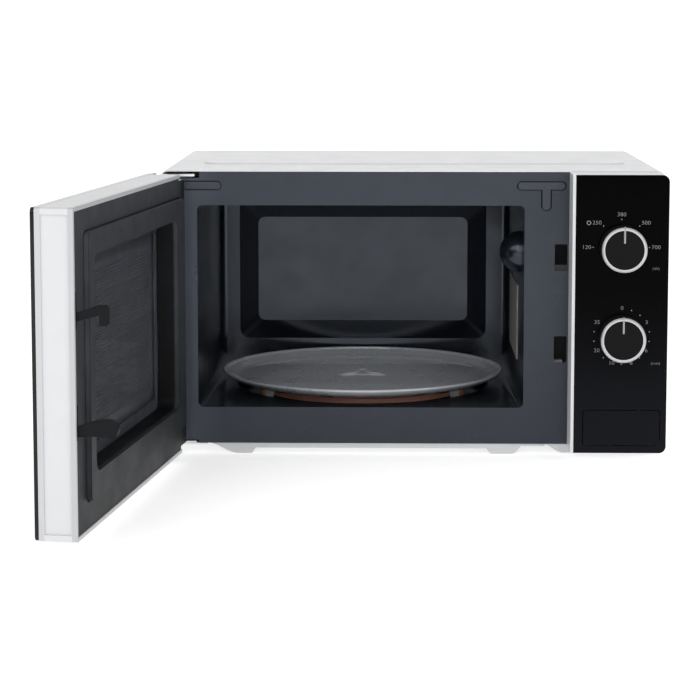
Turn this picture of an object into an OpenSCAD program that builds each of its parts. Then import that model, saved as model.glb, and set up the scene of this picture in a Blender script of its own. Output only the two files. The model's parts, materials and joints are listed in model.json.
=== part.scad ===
// Countertop microwave oven with two dials, a push button for the door and a turntable.
// Millimetres. The origin is on the plane of the feet, under the middle of the cabinet.
// The front looks along -Y, +X is to the right and +Z is up. The door stands open.

/* [Cabinet] */
// Width of the cabinet
body_w = 440; // [436:1:446]
// Depth of the cabinet behind the front frame
body_d = 290; // [288:1:300]
// Height of the cabinet top above the feet
body_h = 251; // [250:1:256]
// Thickness of the cabinet and frame sheet
sheet = 1; // [0.8:0.1:1]
// Corner radius along the two upper long edges
cabinet_r = 6; // [4:1:10]
// How far the door and the control panel stand in front of the frame
front_depth = 36; // [36:0.5:38]

/* [Oven cavity] */
// Inside width of the cavity
cavity_w = 286.8; // [284:0.4:288]
// Inside height of the cavity
cavity_h = 179; // [176:1:180]
// Inside depth of the cavity
cavity_depth = 276; // [274:1:278]
// Height of the cavity floor above the feet
cavity_z = 41.5; // [41:0.5:42]
// Depth of the round recess in the cavity floor
floor_recess = 8; // [7.5:0.5:8]

/* [Door] */
// Width of the door
door_w = 355.5; // [353.5:0.5:355.5]
// Angle at which the door stands open
door_angle = 97.5; // [0:0.5:97.5]
// Height of the door's lower edge above the feet
door_z0 = 8.5; // [8.5:0.5:9]
// Height of the door's upper edge above the feet
door_z1 = 250; // [249.5:0.5:250]
// Thickness of the front glass
glass_t = 3; // [2.5:0.5:3]
// Diameter of the hinge pins
pin_d = 5; // [4:0.5:5]

/* [Control panel] */
// Width of the control panel
panel_w = 82.6; // [82.2:0.2:82.8]
// Diameter of the dials
knob_d = 40; // [36:1:42]
// Height of the power dial's axis
power_z = 187; // [185:1:189]
// Height of the timer dial's axis
timer_z = 109.5; // [108.5:0.5:110.5]
// Travel of the door button
button_travel = 5; // [3:0.5:5]

/* [Turntable] */
// Diameter of the glass tray
tray_d = 263; // [255:1:266]
// Diameter of the tray rollers
roller_d = 12; // [11.8:0.1:12]
// Radius from the turntable axis to the middle of a roller
roller_track = 101; // [98:1:103]

/* [Hidden] */
$fn = 64;

gap = 0.3;
x_left = -body_w / 2;
x_right = body_w / 2;
y_frame = -body_d / 2;
y_back = body_d / 2;
y_front = y_frame - front_depth;
base_top = 9.4;
base_low = 4.9;
x_panel = x_right - panel_w;
x_door = x_left + door_w;

// Cavity walls, inside faces
cav_x0 = -188.3;
cav_x1 = cav_x0 + cavity_w;
cav_z1 = cavity_z + cavity_h;
cav_back = y_frame + cavity_depth;
cav_mouth_r = 5;
cav_r = 18;
cav_back_r = 6;
cav_mid_x = (cav_x0 + cav_x1) / 2;

// Turntable
table_x = cav_mid_x;
table_y = y_frame + cavity_depth / 2;
recess_z = cavity_z - floor_recess;
recess_r = 118;
axle_z = recess_z + roller_d / 2;
tray_z = recess_z + roller_d + gap;
tray_t = 4;
ring_r = roller_track - 5;

// Door planes, with the door shut
hinge_x = x_left + 5;
hinge_y = y_frame - 22.5;
glass_back = y_front + glass_t;
rim_back = y_frame - 4.5;
border_y = rim_back - 1;
plateau_y = y_frame - 1.5;
plateau = [-203.5, 32, 104.5, 229.5];
recess = [-179, 51, 90.5, 213];
plateau_r = 5;
recess_edge_r = 9;
window = [-170, 60, 82, 204];
ledge_y = plateau_y - 18.5;
screen_y = y_frame - 22;
key_x0 = 127;
key_x1 = 131;
upper_slot = [163.4, 186.6];
lower_slot = [82.1, 105.4];
slot_x = [125, 136];
spring_top = 232;
notch_low = 14;
notch_high = 244.5;

// Control panel
panel_rim = 2.6;
fascia_t = 2;
knob_x = x_right - 39.5;
button_box = [147.6, 14.7, 215, 46.5];
knob_depth = 17;
knob_gap = 0.8;
knob_wall = 3.2;
shaft_r = 3;
lever_y = y_frame + 12;
lever_z = 52;

// Rear screws and feet
screw_x = [-205, -70, 70, 205];
screw_z = [20, 242];
rear_foot_x = 150;
rear_foot_y = 100;

// Cord gland
gland_x = 195;
gland_z = 34;

// Fan
fan_x = 160;
fan_z = 105;
fan_r = 46;

// Magnetron axis and the face it is fastened by
mag_x = cav_x1 + 20;
mag_y = 30;
mag_z = 104;

// Oven lamp
lamp_y = y_frame + 58;
lamp_z = 174;
lamp_dome = 19;
lamp_hole_r = 14;

module box(a, b) {
    translate(a) cube([b[0] - a[0], b[1] - a[1], b[2] - a[2]]);
}

module rounded(w, h, r) {
    square([w - 2 * r, h], center = true);
    square([w, h - 2 * r], center = true);
    for (sx = [-1, 1], sz = [-1, 1]) {
        translate([sx * (w / 2 - r), sz * (h / 2 - r)]) circle(r);
    }
}

// A slab with rounded corners that stands in the XZ plane; area is [x0, z0, x1, z1].
module upright(area, y0, y1, r) {
    translate([(area[0] + area[2]) / 2, y1, (area[1] + area[3]) / 2])
        rotate([90, 0, 0])
            linear_extrude(y1 - y0) rounded(area[2] - area[0], area[3] - area[1], r);
}

function grown(area, by) = [area[0] - by, area[1] - by, area[2] + by, area[3] + by];

// A flat outline in the XY plane, given its height range.
module lying(z0, z1) {
    translate([0, 0, z0]) linear_extrude(z1 - z0) children();
}

// An outline in the YZ plane, extruded along X.
module side_profile(x0, x1) {
    translate([x0, 0, 0]) rotate([90, 0, 90]) linear_extrude(x1 - x0) children();
}

module rod_y(x, z, y0, y1, r) {
    translate([x, y1, z]) rotate([90, 0, 0]) cylinder(h = y1 - y0, r = r);
}

module rod_x(y, z, x0, x1, r) {
    translate([x0, y, z]) rotate([0, 90, 0]) cylinder(h = x1 - x0, r = r);
}

module rod_z(x, y, z0, z1, r) {
    translate([x, y, z0]) cylinder(h = z1 - z0, r = r);
}

module on_hinge() {
    translate([hinge_x, hinge_y, 0])
        rotate([0, 0, -door_angle])
            translate([-hinge_x, -hinge_y, 0]) children();
}

module around_table(angle) {
    translate([table_x, table_y, 0]) rotate([0, 0, angle]) children();
}

// ---- Casing ----

module outer_cabinet() {
    emboss = [-190, -61, 195, 118];
    emboss_h = 1.2;
    shoulder = 4;
    color("white") {
        difference() {
            upright([x_left, base_low, x_right, body_h], y_frame, y_back, cabinet_r);
            upright([x_left + sheet, base_low - 20, x_right - sheet, body_h - sheet],
                y_frame - 1, y_back + 1, cabinet_r - sheet);
            box([x_left - 1, y_frame - 1, base_low - 1],
                [x_right + 1, y_back + 1, base_low + cabinet_r]);
        }
        for (x = [x_left, x_right - sheet]) {
            box([x, y_frame, base_low], [x + sheet, y_back, base_low + cabinet_r + 1]);
        }
        difference() {
            cabinet_emboss(emboss, body_h, body_h + emboss_h, 0);
            cabinet_emboss(emboss, body_h - 1, body_h + emboss_h - sheet, shoulder);
        }
    }
}

module cabinet_emboss(area, z0, z1, inset) {
    translate([(area[0] + area[2]) / 2, (area[1] + area[3]) / 2, z0])
        linear_extrude(z1 - z0)
            rounded(area[2] - area[0] - 2 * inset, area[3] - area[1] - 2 * inset, 16 - inset);
}

module rear_panel() {
    slot_h = 4;
    color("gainsboro") difference() {
        upright([x_left + sheet, base_top, x_right - sheet, body_h - sheet],
            y_back - sheet, y_back, cabinet_r - sheet);
        for (col = [0:3], row = [0:10]) {
            upright([fan_x - 46 + col * 24, 62 + row * 8, fan_x - 26 + col * 24, 62 + row * 8 + slot_h],
                y_back - 3, y_back + 1, 1.5);
        }
        for (col = [0:2], row = [0:5]) {
            upright([-200 + col * 26, 178 + row * 8, -178 + col * 26, 178 + row * 8 + slot_h],
                y_back - 3, y_back + 1, 1.5);
        }
        rod_y(gland_x, gland_z, y_back - 3, y_back + 1, 7);
        for (x = screw_x, z = screw_z) {
            rod_y(x, z, y_back - 3, y_back + 1, 1.9);
        }
    }
}

// Outline of a foot from the side: down from x0 to x1, flat, and up again from x2 to x3.
function foot_outline(x0, x1, x2, x3, low) = [
    for (t = [0:0.125:1]) [x0 + (x1 - x0) * t, eased(t, base_top, low)],
    for (t = [0:0.125:1]) [x2 + (x3 - x2) * t, eased(t, low, base_top)]
];

function eased(t, from, to) = from + (to - from) * (1 - cos(180 * t)) / 2;

// A foot pressed out of the base sheet, closed at both ends.
module pressed_foot(points) {
    length = 54;
    translate([0, y_frame + length + 1, 0]) rotate([90, 0, 0]) {
        linear_extrude(length) difference() {
            polygon(points);
            translate([0, sheet]) polygon(points);
        }
        for (end = [0, length - sheet]) {
            translate([0, 0, end]) linear_extrude(sheet) polygon(points);
        }
    }
}

module base_plate() {
    top = base_top;
    low = base_top - sheet;
    cut_y = y_frame + 55;
    color("whitesmoke") {
        difference() {
            box([x_left + sheet, y_frame + 1, low], [x_right - sheet, y_back - sheet, top]);
            box([-180, y_frame, low - 1], [-135, cut_y, top + 1]);
            box([63, y_frame, low - 1], [100, cut_y, top + 1]);
            box([116, y_frame, low - 1], [207, cut_y, top + 1]);
            for (x = [-rear_foot_x, rear_foot_x]) {
                rod_z(x, rear_foot_y, low - 1, top + 1, 3.05);
            }
        }
        pressed_foot(foot_outline(-181, -153, -142, -134, 0));
        pressed_foot(foot_outline(62, 71, 89, 101, 0));
        pressed_foot(foot_outline(115, 134, 198, 208, 1.5));
        for (span = [[-138, 66, base_low], [98, 118, 7.2], [204, x_right - sheet, base_low]]) {
            box([span[0], y_frame + 1, span[2]], [span[1], y_frame + 2, top]);
        }
    }
}

module rear_feet() {
    color("dimgray") for (x = [-rear_foot_x, rear_foot_x]) {
        rod_z(x, rear_foot_y, 0, 2, 10);
        rod_z(x, rear_foot_y, 2, base_top - sheet, 12);
        rod_z(x, rear_foot_y, base_top - sheet, base_top + 4, 3);
    }
}

module cabinet_screws() {
    color("silver") for (x = screw_x, z = screw_z) {
        rod_y(x, z, y_back, y_back + 1.8, 4);
        rod_y(x, z, y_back - 8, y_back, 1.8);
    }
}

module cord_gland() {
    color("black") difference() {
        union() {
            rod_y(gland_x, gland_z, y_back - 5, y_back - sheet, 10);
            rod_y(gland_x, gland_z, y_back - sheet, y_back, 7);
            rod_y(gland_x, gland_z, y_back, y_back + 6, 9.5);
        }
        rod_y(gland_x, gland_z, y_back - 6, y_back + 7, 3.6);
    }
}

// ---- Front frame and oven cavity ----

module front_frame() {
    bead_h = 0.9;
    y1 = y_frame + sheet;
    color("slategray") {
        difference() {
            upright([x_left + sheet, base_top, x_right - sheet, body_h - sheet],
                y_frame, y1, cabinet_r - sheet);
            upright([cav_x0, cavity_z, cav_x1, cav_z1], y_frame - 1, y1 + 1, 4);
            upright([slot_x[0], upper_slot[0], slot_x[1], upper_slot[1]], y_frame - 1, y1 + 1, 1);
            upright([slot_x[0], lower_slot[0], slot_x[1], lower_slot[1]], y_frame - 1, y1 + 1, 1);
            upright([146, 14, 212, 244], y_frame - 1, y1 + 1, 3);
            box([x_left, y_frame - 1, notch_high], [-186, y1 + 1, body_h]);
            box([x_left, y_frame - 1, base_top - 1], [-188, y1 + 1, 12]);
        }
        upright([-200.3, 234.7, -167.6, 240.9], y_frame - bead_h, y_frame, 3);
        upright([92.6, 234.7, 133.7, 240.9], y_frame - bead_h, y_frame, 3);
        upright([113.8, 217, 120.9, 237], y_frame - bead_h, y_frame, 3);
    }
}

module cavity_space(grow, y0) {
    x0 = cav_x0 - grow;
    x1 = cav_x1 + grow;
    y1 = cav_back + grow;
    r = cav_back_r + grow;
    outline = [x0, cavity_z - grow, x1, cav_z1 + grow];
    intersection() {
        hull() {
            upright(outline, y0, y0 + 1, cav_mouth_r + grow, $fn = 32);
            upright(outline, y1 - 1, y1, cav_r + grow, $fn = 32);
        }
        lying(cavity_z - grow - 1, cav_z1 + grow + 1) {
            translate([x0, y0]) square([x1 - x0, y1 - r - y0]);
            translate([x0 + r, y0]) square([x1 - x0 - 2 * r, y1 - y0]);
            for (x = [x0 + r, x1 - r]) {
                translate([x, y1 - r]) circle(r);
            }
        }
    }
}

module oven_cavity() {
    wall = 1;
    y0 = y_frame + sheet;
    color("darkslategray") {
        difference() {
            union() {
                cavity_space(wall, y0);
                upright([cav_x0 - 12, cavity_z - 10, cav_x1 + 8, cav_z1 + 12], y0, y0 + wall, 6);
                rod_z(table_x, table_y, recess_z - wall, cavity_z, recess_r + wall);
            }
            difference() {
                cavity_space(0, y0 - 1);
                back_bulge(0);
            }
            back_bulge(wall);
            rod_z(table_x, table_y, recess_z, cavity_z + 1, recess_r);
            rod_z(table_x, table_y, recess_z - 5, recess_z + 1, 6);
            box([cav_x1 - 1, -38, 82], [cav_x1 + 5, 52, 126]);
            rod_x(lamp_y, lamp_z, cav_x1 - 1, cav_x1 + 5, lamp_hole_r);
            for (col = [0:2], row = [0:7]) {
                rod_x(y_frame + 17 + col * 6, 158 + row * 6, cav_x1 - 1, cav_x1 + 5, 1.7);
            }
            for (col = [0:6], row = [0:3]) {
                rod_z(-172 + col * 7, 88 + row * 7, cav_z1 - 1, cav_z1 + 5, 2);
            }
        }
    }
}

// The flat field in the back wall and the slopes around it, moved back by the sheet.
module back_bulge(back) {
    field = [-151, 82, 58, 186];
    slope = 19;
    bulge = 5;
    skin = 0.1;
    hull() {
        upright(field, cav_back - bulge + back, cav_back - bulge + back + skin, 7, $fn = 32);
        upright(grown(field, slope), cav_back + back, cav_back + back + 1, 10, $fn = 32);
    }
}

module lamp_cover() {
    wall = 1;
    color("darkslategray") difference() {
        translate([cav_x1, lamp_y, lamp_z]) sphere(lamp_dome);
        translate([cav_x1, lamp_y, lamp_z]) sphere(lamp_dome - wall);
        box([cav_x1, lamp_y - 30, lamp_z - 30], [cav_x1 + 30, lamp_y + 30, lamp_z + 30]);
    }
}

module waveguide_cover() {
    color("darkkhaki") difference() {
        box([cav_x1 - 0.8, -50, 70], [cav_x1, 70, 139]);
        rod_x(-44, 104, cav_x1 - 2, cav_x1 + 1, 1.6);
        rod_x(64, 104, cav_x1 - 2, cav_x1 + 1, 1.6);
    }
}

module waveguide() {
    x0 = cav_x1 + 1;
    x1 = x0 + 19;
    color("silver") difference() {
        union() {
            box([x0, -48, 74], [x1, 72, 134]);
            box([x0, -56, 66], [x0 + 1, 80, 142]);
        }
        box([x0 - 1, -47, 75], [x1 - 1, 71, 133]);
        rod_x(mag_y, mag_z, x1 - 3, x1 + 1, 11);
    }
}

// ---- Microwave generator ----

module magnetron_yoke() {
    color("silver") difference() {
        box([mag_x, -12, 66.5], [mag_x + 62, 72, 141.5]);
        box([mag_x + 2, -13, 68.5], [mag_x + 60, 73, 139.5]);
        rod_x(mag_y, mag_z, mag_x - 1, mag_x + 3, 12);
    }
}

module magnetron_anode() {
    color("indianred") {
        rod_x(mag_y, mag_z, mag_x - 14, mag_x + 6, 7.5);
        rod_x(mag_y, mag_z, mag_x + 6, mag_x + 52, 20);
        for (i = [0:8]) {
            box([mag_x + 10 + i * 4.6, -8, 69], [mag_x + 10.8 + i * 4.6, 68, 139]);
        }
    }
}

module magnetron_filter_box() {
    color("darkgray") {
        difference() {
            box([mag_x + 62, 8, 82], [mag_x + 88, 58, 128]);
            box([mag_x + 63, 9, 83], [mag_x + 87, 57, 127]);
        }
        box([mag_x + 68, -4, 98], [mag_x + 80, 8, 112]);
    }
}

module transformer_core() {
    color("dimgray") difference() {
        box([118, -98, 9.4], [204, -22, 64]);
        box([134, -99, 22], [148, -21, 52]);
        box([174, -99, 22], [188, -21, 52]);
    }
}

module transformer_windings() {
    color("orangered") difference() {
        box([134.5, -108, 22.5], [187.5, -12, 51.5]);
        box([148, -98, 20], [174, -22, 54]);
    }
}

module capacitor() {
    color("lightgray") {
        lying(base_top, base_top + 38) translate([158, 34]) rounded(86, 50, 24);
        for (x = [140, 176]) {
            box([x - 3, 30, base_top + 38], [x + 3, 38, base_top + 46]);
        }
    }
}

module high_voltage_diode() {
    color("black") {
        rod_y(108, 14, -2, 24, 4.5);
        rod_y(108, 14, -14, -2, 1.2);
        rod_z(108, -14, base_top, 17, 4);
    }
}

module fan_shroud() {
    color("whitesmoke") {
        difference() {
            box([fan_x - 54, 112, fan_z - 54], [fan_x + 54, y_back - sheet, fan_z + 54]);
            rod_y(fan_x, fan_z, 111, y_back, fan_r + 3);
        }
        difference() {
            union() {
                box([fan_x - 50, 106, fan_z - 5], [fan_x + 50, 112, fan_z + 5]);
                for (x = [fan_x - 50, fan_x + 44]) {
                    box([x, 106, fan_z - 5], [x + 6, 114, fan_z + 5]);
                }
            }
            rod_y(fan_x, fan_z, 100, 120, 12);
        }
    }
}

module fan_motor() {
    color("darkgray") {
        difference() {
            union() {
                box([fan_x - 28, 86, fan_z - 26], [fan_x + 28, 102, fan_z + 22]);
                rod_y(fan_x, fan_z, 78, 108, 11);
            }
            rod_y(fan_x, fan_z, 92, 109, 2.05);
        }
        box([fan_x - 32, 102, fan_z - 5], [fan_x - 14, 106, fan_z + 5]);
        box([fan_x + 14, 102, fan_z - 5], [fan_x + 32, 106, fan_z + 5]);
    }
}

module fan_blade() {
    color("ivory") {
        rod_y(fan_x, fan_z, 94, 134, 2);
        rod_y(fan_x, fan_z, 118, 136, 13);
        for (i = [0:4]) {
            translate([fan_x, 127, fan_z]) rotate([0, i * 72, 0]) rotate([0, 0, 32])
                translate([-13, -1, 10]) cube([26, 2, fan_r - 16]);
        }
    }
}

module noise_filter_board() {
    color("darkgreen") {
        box([112, 137, 172], [196, 139, 232]);
        for (x = [118, 190], z = [178, 226]) {
            rod_y(x, z, 139, y_back - sheet, 3);
        }
        box([120, 118, 184], [144, 137, 206]);
        rod_y(168, 208, 114, 137, 12);
        box([150, 122, 178], [186, 137, 190]);
    }
}

module thermal_cutout() {
    color("beige") {
        rod_x(96, 190, cav_x1 + 1, cav_x1 + 13, 8);
        box([cav_x1 + 1, 84, 186], [cav_x1 + 2, 108, 194]);
    }
}

module lamp_holder() {
    x0 = cav_x1 + 1;
    color("silver") {
        difference() {
            box([x0, lamp_y - 20, lamp_z - 20], [x0 + 1, lamp_y + 20, lamp_z + 20]);
            rod_x(lamp_y, lamp_z, x0 - 1, x0 + 2, lamp_hole_r);
        }
        difference() {
            rod_x(lamp_y, lamp_z, x0 + 1, x0 + 34, 16);
            rod_x(lamp_y, lamp_z, x0, x0 + 30, 14.5);
        }
    }
}

module oven_lamp() {
    x0 = cav_x1 + 1;
    color("lightyellow") {
        rod_x(lamp_y, lamp_z, x0 + 20, x0 + 30, 7);
        rod_x(lamp_y, lamp_z, x0 + 6, x0 + 20, 9);
        translate([x0 + 6, lamp_y, lamp_z]) sphere(9);
    }
}

// ---- Turntable ----

module turntable_motor() {
    top = recess_z - 1;
    color("silver") difference() {
        union() {
            rod_z(table_x, table_y, top - 16, top, 24.5);
            box([table_x - 34, table_y - 7, top - 1], [table_x + 34, table_y + 7, top]);
            box([table_x - 9, table_y + 22, top - 14], [table_x + 9, table_y + 34, top - 4]);
        }
        rod_z(table_x, table_y, top - 12, top + 1, 4.05);
    }
}

module turntable_coupler() {
    color("sandybrown") {
        rod_z(table_x, table_y, recess_z - 11, recess_z + 2, 4);
        rod_z(table_x, table_y, recess_z + 2, tray_z - 0.4, 10);
        for (i = [0:2]) {
            around_table(i * 120) box([0, -4.5, recess_z + 6], [21, 4.5, tray_z - 0.4]);
        }
    }
}

module glass_tray() {
    rim_r = tray_d / 2;
    color("lightslategray") {
        translate([table_x, table_y, tray_z]) rotate_extrude($fn = 128) polygon([
            [0, 0], [rim_r - 16, 0], [rim_r - 3, 5.5], [rim_r, 7.5], [rim_r, 9.5],
            [rim_r - 3, 10], [rim_r - 7, 8.5], [rim_r - 16, tray_t], [0, tray_t]
        ]);
        for (i = [0:2]) {
            around_table(60 + i * 120) box([12, -7, tray_z - 4], [18, 7, tray_z]);
        }
    }
}

module roller_ring() {
    color("sienna") {
        difference() {
            rod_z(table_x, table_y, axle_z - 2.3, axle_z + 2.3, ring_r);
            rod_z(table_x, table_y, axle_z - 4, axle_z + 4, ring_r - 5);
        }
        for (i = [0:2]) {
            around_table(90 + i * 120) {
                rod_x(0, axle_z, ring_r - 1, roller_track + 5, 2);
                rod_x(0, axle_z, roller_track + 4.5, roller_track + 6, 3.6);
            }
        }
    }
}

module roller(i) {
    color("white") around_table(90 + i * 120) difference() {
        rod_x(0, axle_z, roller_track - 4, roller_track + 4, roller_d / 2);
        rod_x(0, axle_z, roller_track - 5, roller_track + 5, 2.1);
    }
}

module roller_1() {
    roller(0);
}

module roller_2() {
    roller(1);
}

module roller_3() {
    roller(2);
}

// ---- Control panel ----

panel_face = y_front + fascia_t;

module panel_housing() {
    wall = 2.2;
    full = [x_panel, door_z0, x_right, door_z1];
    color("white") difference() {
        union() {
            upright(full, panel_face, y_frame, 6);
            box([x_panel, panel_face, door_z0], [x_panel + 10, y_frame, door_z1]);
            box([x_panel, y_front, door_z0], [x_panel + panel_rim, panel_face, door_z1]);
        }
        upright(grown(full, -wall), panel_face + wall, y_frame + 1, 4);
        upright(button_box, panel_face - 1, panel_face + wall + 1, 3);
        for (z = [power_z, timer_z]) {
            rod_y(knob_x, z, panel_face - 1, panel_face + wall + 1, 6);
        }
    }
}

module panel_fascia() {
    full = [x_panel + panel_rim, door_z0, x_right, door_z1];
    color([0.04, 0.04, 0.045]) difference() {
        union() {
            upright(full, y_front, panel_face, 6);
            box([full[0], y_front, door_z0], [full[0] + 10, panel_face, door_z1]);
        }
        upright(button_box, y_front - 1, panel_face + 1, 3);
        for (z = [power_z, timer_z]) {
            rod_y(knob_x, z, y_front - 1, panel_face + 1, 6);
        }
    }
}

module power_selector() {
    color("whitesmoke") difference() {
        union() {
            box([knob_x - 22, y_front + 6, power_z - 24], [knob_x + 22, y_front + 38, power_z + 24]);
            rod_y(knob_x, power_z, y_front + 4.2, y_front + 8, 8);
        }
        rod_y(knob_x, power_z, y_front, y_front + 20, shaft_r + 0.05);
    }
}

module timer_unit() {
    color("gold") difference() {
        union() {
            box([knob_x - 24, y_front + 6, timer_z - 26], [knob_x + 24, y_front + 44, timer_z + 26]);
            rod_y(knob_x, timer_z, y_front + 4.2, y_front + 8, 8);
            rod_y(knob_x, timer_z, y_front + 44, y_front + 60, 21);
        }
        rod_y(knob_x, timer_z, y_front, y_front + 20, shaft_r + 0.05);
    }
}

module knob(z) {
    face = y_front - knob_gap - knob_depth;
    r = knob_d / 2;
    color([0.03, 0.03, 0.03]) {
        rod_y(knob_x, z, face + 1, y_front - knob_gap, r - knob_wall);
        rod_y(knob_x, z, y_front - knob_gap, y_front + 18, shaft_r);
    }
    color("whitesmoke") box([knob_x - 0.9, face + 0.2, z + 5], [knob_x + 0.9, face + 1, z + r - 3.3]);
}

module knob_ring(z) {
    r = knob_d / 2;
    inner = r - knob_wall;
    color("silver") translate([knob_x, y_front - knob_gap, z]) rotate([90, 0, 0])
        rotate_extrude($fn = 96) polygon([
            [inner, 0], [r, 0], [r - 0.6, knob_depth - 1.2],
            [r - 1.8, knob_depth], [inner, knob_depth]
        ]);
}

module power_knob() {
    knob(power_z);
}

module power_knob_ring() {
    knob_ring(power_z);
}

module timer_knob() {
    knob(timer_z);
}

module timer_knob_ring() {
    knob_ring(timer_z);
}

module door_button() {
    play = 0.7;
    face = grown(button_box, -play);
    color([0.04, 0.04, 0.045]) {
        difference() {
            upright(face, y_front, y_front + 12, 2.5);
            upright(grown(face, -2), y_front + 2.5, y_front + 13, 1);
        }
        box([150, y_front + 2, 25], [158, y_frame + 8, 33]);
    }
}

module release_lever() {
    color("white") {
        rod_x(lever_y, lever_z, 117, 134, 2.5);
        rod_x(lever_y, lever_z, 126, 134, 6);
        box([126, lever_y - 3, 22], [134, lever_y + 3, 50]);
        box([134, lever_y - 3, 22], [160, lever_y + 3, 34]);
        side_profile(126, 134) polygon([
            [lever_y - 3, 54], [lever_y + 3, 50], [lever_y + 17, 76],
            [lever_y + 17, 81], [lever_y + 10, 81]
        ]);
    }
}

module lever_spring() {
    color("silver") difference() {
        rod_x(lever_y, lever_z, 123.3, 125.7, 4.4);
        rod_x(lever_y, lever_z, 123, 126, 2.8);
    }
}

module latch_body() {
    y0 = y_frame + sheet;
    y1 = y_frame + 40;
    color("ivory") {
        difference() {
            box([114, y0, 72], [143, y1, 198]);
            box([124, y0 - 1, 161], [138, y0 + 33, 190]);
            box([124, y0 - 1, 74], [138, y0 + 33, 108]);
            box([124, y0 + 6, 71], [138, y0 + 33, 75]);
            box([122, y0 + 4, 114], [144, y1 + 1, 155]);
        }
        box([124, y0, 161], [138, y0 + 11, 168.5]);
        difference() {
            box([117, y0, 44], [123, y1 - 8, 73]);
            rod_x(lever_y, lever_z, 110, 130, 2.6);
        }
    }
}

module microswitch(z) {
    color("red") {
        box([143, y_frame + 5, z - 8], [153.3, y_frame + 33, z + 8]);
        for (i = [0:2]) {
            box([147, y_frame + 33, z - 7 + i * 5.5], [147.8, y_frame + 39, z - 4 + i * 5.5]);
        }
    }
}

module primary_switch() {
    microswitch(178);
}

module monitor_switch() {
    microswitch(156);
}

module secondary_switch() {
    microswitch(92);
}

// ---- Hinges ----

module hinge_bracket(z0, flange_z0, flange_z1) {
    y1 = y_frame + sheet;
    color("silver") {
        lying(z0, z0 + 2) difference() {
            union() {
                polygon([
                    [x_left + 1.5, y1 + 2], [-190, y1 + 2], [-190, y_frame - 3],
                    [-203, y_frame - 4.5], [hinge_x + 4, hinge_y + 3],
                    [hinge_x + 4, hinge_y], [x_left + 1.5, hinge_y]
                ]);
                translate([hinge_x, hinge_y]) circle(4.8);
            }
            translate([hinge_x, hinge_y]) circle(pin_d / 2);
        }
        box([x_left + 1.5, y1, flange_z0], [-203, y1 + 2, flange_z1]);
    }
}

module upper_hinge() {
    hinge_bracket(246, 218, 248);
}

module lower_hinge() {
    hinge_bracket(9.6, 9.6, 40);
}

module hinge_pins() {
    color("gray") {
        rod_z(hinge_x, hinge_y, 226, 248.6, pin_d / 2);
        rod_z(hinge_x, hinge_y, 248, 249, 3.8);
        rod_z(hinge_x, hinge_y, 9, 28, pin_d / 2);
        rod_z(hinge_x, hinge_y, 8.7, 9.6, 3.8);
    }
}

// ---- Door, drawn shut and turned on its hinge ----

module door_frame() {
    full = [x_left, door_z0, x_door, door_z1];
    wall = 3;
    notch = 20;
    color("white") on_hinge() {
        difference() {
            union() {
                difference() {
                    upright(full, glass_back, rim_back, 2);
                    upright(grown(full, -wall), glass_back + 3, rim_back + 1, 1);
                    upright(grown(full, -12), glass_back - 1, glass_back + 4, 3);
                }
                for (z = [[notch_low, 34], [224, notch_high]]) {
                    box([x_left + 1, glass_back + 1, z[0]], [x_left + 12, rim_back - 3, z[1]]);
                }
                box([key_x0 - 2, y_frame - 26, spring_top], [x_door - 2, y_frame - 16, spring_top + 3]);
            }
            for (z = [[door_z0 - 1, notch_low], [notch_high, door_z1 + 1]]) {
                box([x_left - 1, glass_back + 3, z[0]], [x_left + notch, rim_back + 1, z[1]]);
            }
            box([x_door - 1.2, glass_back + 4.3, door_z0 + 5], [x_door + 1, rim_back - 4, door_z1 - 5]);
            box([x_left - 1, rim_back - 3, door_z0 + 3.3], [x_left + 4, rim_back + 1, door_z1 - 3.3]);
            rod_z(hinge_x, hinge_y, 8, 36, pin_d / 2 + 0.05);
            rod_z(hinge_x, hinge_y, 222, 252, pin_d / 2 + 0.05);
        }
    }
}

module door_glass() {
    color([0.02, 0.02, 0.025]) on_hinge()
        upright([x_left, door_z0, x_door, door_z1], y_front, glass_back, 4);
}

module door_plate() {
    outer = [-206, 16, 123, 243];
    choke = [-184, 46, 95.5, 218];
    y0 = screen_y;
    y1 = y_frame - 8;
    color("silver") on_hinge() {
        difference() {
            upright(outer, y0, y1, 4);
            difference() {
                upright(grown(outer, -1), y0 + 1, y1 + 1, 3);
                upright(choke, y0, y1, 4);
            }
            upright(grown(choke, -1), y0 + 1, y1 + 1, 3);
            upright(window, y0 - 1, y1, 3);
        }
    }
}

module window_screen() {
    color("gray") on_hinge() upright(grown(window, 3), screen_y - 0.6, screen_y, 3);
}

module choke_cover() {
    wall = 2;
    border = [x_left, door_z0 + 3.3, x_door - 3.3, door_z1 - 3.3];
    notch = 20.5;
    groove = 1.4;
    color("dimgray") on_hinge() {
        difference() {
            union() {
                upright(border, border_y - wall, border_y, 1);
                upright(plateau, border_y - wall, plateau_y, plateau_r);
            }
            upright(grown(plateau, -wall), border_y - wall - 1, plateau_y - wall, plateau_r - wall);
            upright(recess, ledge_y, plateau_y + 1, recess_edge_r);
            difference() {
                upright(grown(plateau, groove), border_y - groove, border_y + 1, plateau_r + groove);
                upright(plateau, border_y - wall, border_y + 2, plateau_r);
            }
            for (slot = [upper_slot, lower_slot]) {
                box([slot_x[0] + 0.5, border_y - 5, slot[0] - 1],
                    [slot_x[1] - 3.2, border_y + 1, slot[1] + 2]);
            }
            for (z = [[door_z0, notch_low], [notch_high, door_z1]]) {
                box([x_left, border_y - 5, z[0]], [x_left + notch, border_y + 1, z[1]]);
            }
        }
        difference() {
            upright(grown(recess, wall), ledge_y, plateau_y - 0.5, recess_edge_r + wall);
            upright(recess, ledge_y - 1, plateau_y + 1, recess_edge_r);
        }
    }
}

module inner_window() {
    color([0.5, 0.52, 0.55]) on_hinge() upright(grown(recess, 1.5), ledge_y - 0.8, ledge_y, recess_edge_r);
}

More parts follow.
